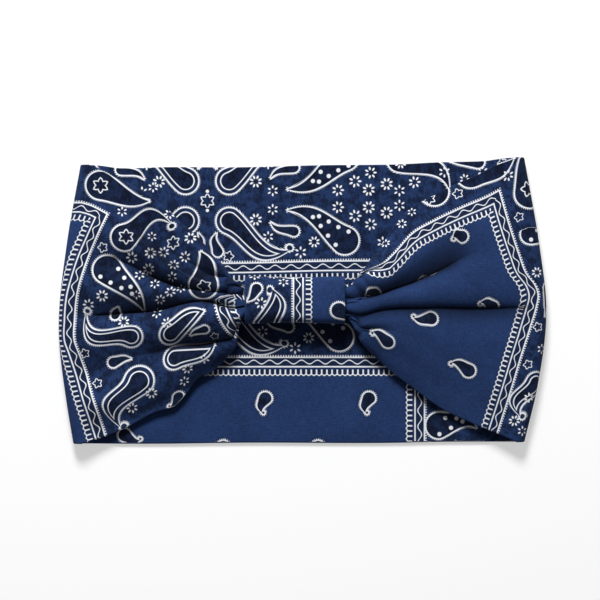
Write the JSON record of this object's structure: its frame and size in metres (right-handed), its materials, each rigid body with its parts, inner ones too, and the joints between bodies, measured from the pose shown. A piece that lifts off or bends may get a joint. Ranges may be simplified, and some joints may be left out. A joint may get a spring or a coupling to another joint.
{
  "type": "knotted headband",
  "caption": "Wide soft jersey headband: a flat loop of doubled cloth gathered at the front into a short centre wrap, with fanned pleated lobes.",
  "frame": {"origin": "centre of the bounding box's base, on the surface the headband lies on", "axes": "+X across the wearer's head from the left side fold to the right side fold, +Y towards the top edge of the band, +Z out of the knotted front"},
  "size_m": [0.2445, 0.1424, 0.0168],
  "materials": {
    "jersey": "matte heathered knit",
    "thread": "satin polyester"
  },
  "bodies": {
    "band_back": {"back_panel": "jersey", "left_side_fold": "jersey", "right_side_fold": "jersey", "lengthwise_seam_thread": "thread"},
    "knot": {"centre_wrap": "jersey", "left_gathered_end": "jersey", "right_gathered_end": "jersey", "end_seam_stitches": "thread", "gathering_thread": "thread", "wrap_closing_stitches": "thread"},
    "left_lobe": {"left_front_lobe": "jersey"},
    "right_lobe": {"right_front_lobe": "jersey"}
  },
  "joints": [
    {"name": "knot_lift", "type": "slide", "parent": "band_back", "child": "knot", "axis": [0, 0, 1], "range_m": [0, 0.045]},
    {"name": "left_lobe_swing", "type": "hinge", "parent": "band_back", "child": "left_lobe", "pos_m": [-0.1065, 0, 0.0078], "axis": [0, -1, 0], "range_deg": [0, 34.5]},
    {"name": "right_lobe_swing", "type": "hinge", "parent": "band_back", "child": "right_lobe", "pos_m": [0.1065, 0, 0.0078], "axis": [0, 1, 0], "range_deg": [0, 31.5]}
  ],
  "couplings": [
    {"joint": "left_lobe_swing", "follows": "knot_lift", "rad_per_m": 13},
    {"joint": "right_lobe_swing", "follows": "knot_lift", "rad_per_m": 11.85}
  ]
}
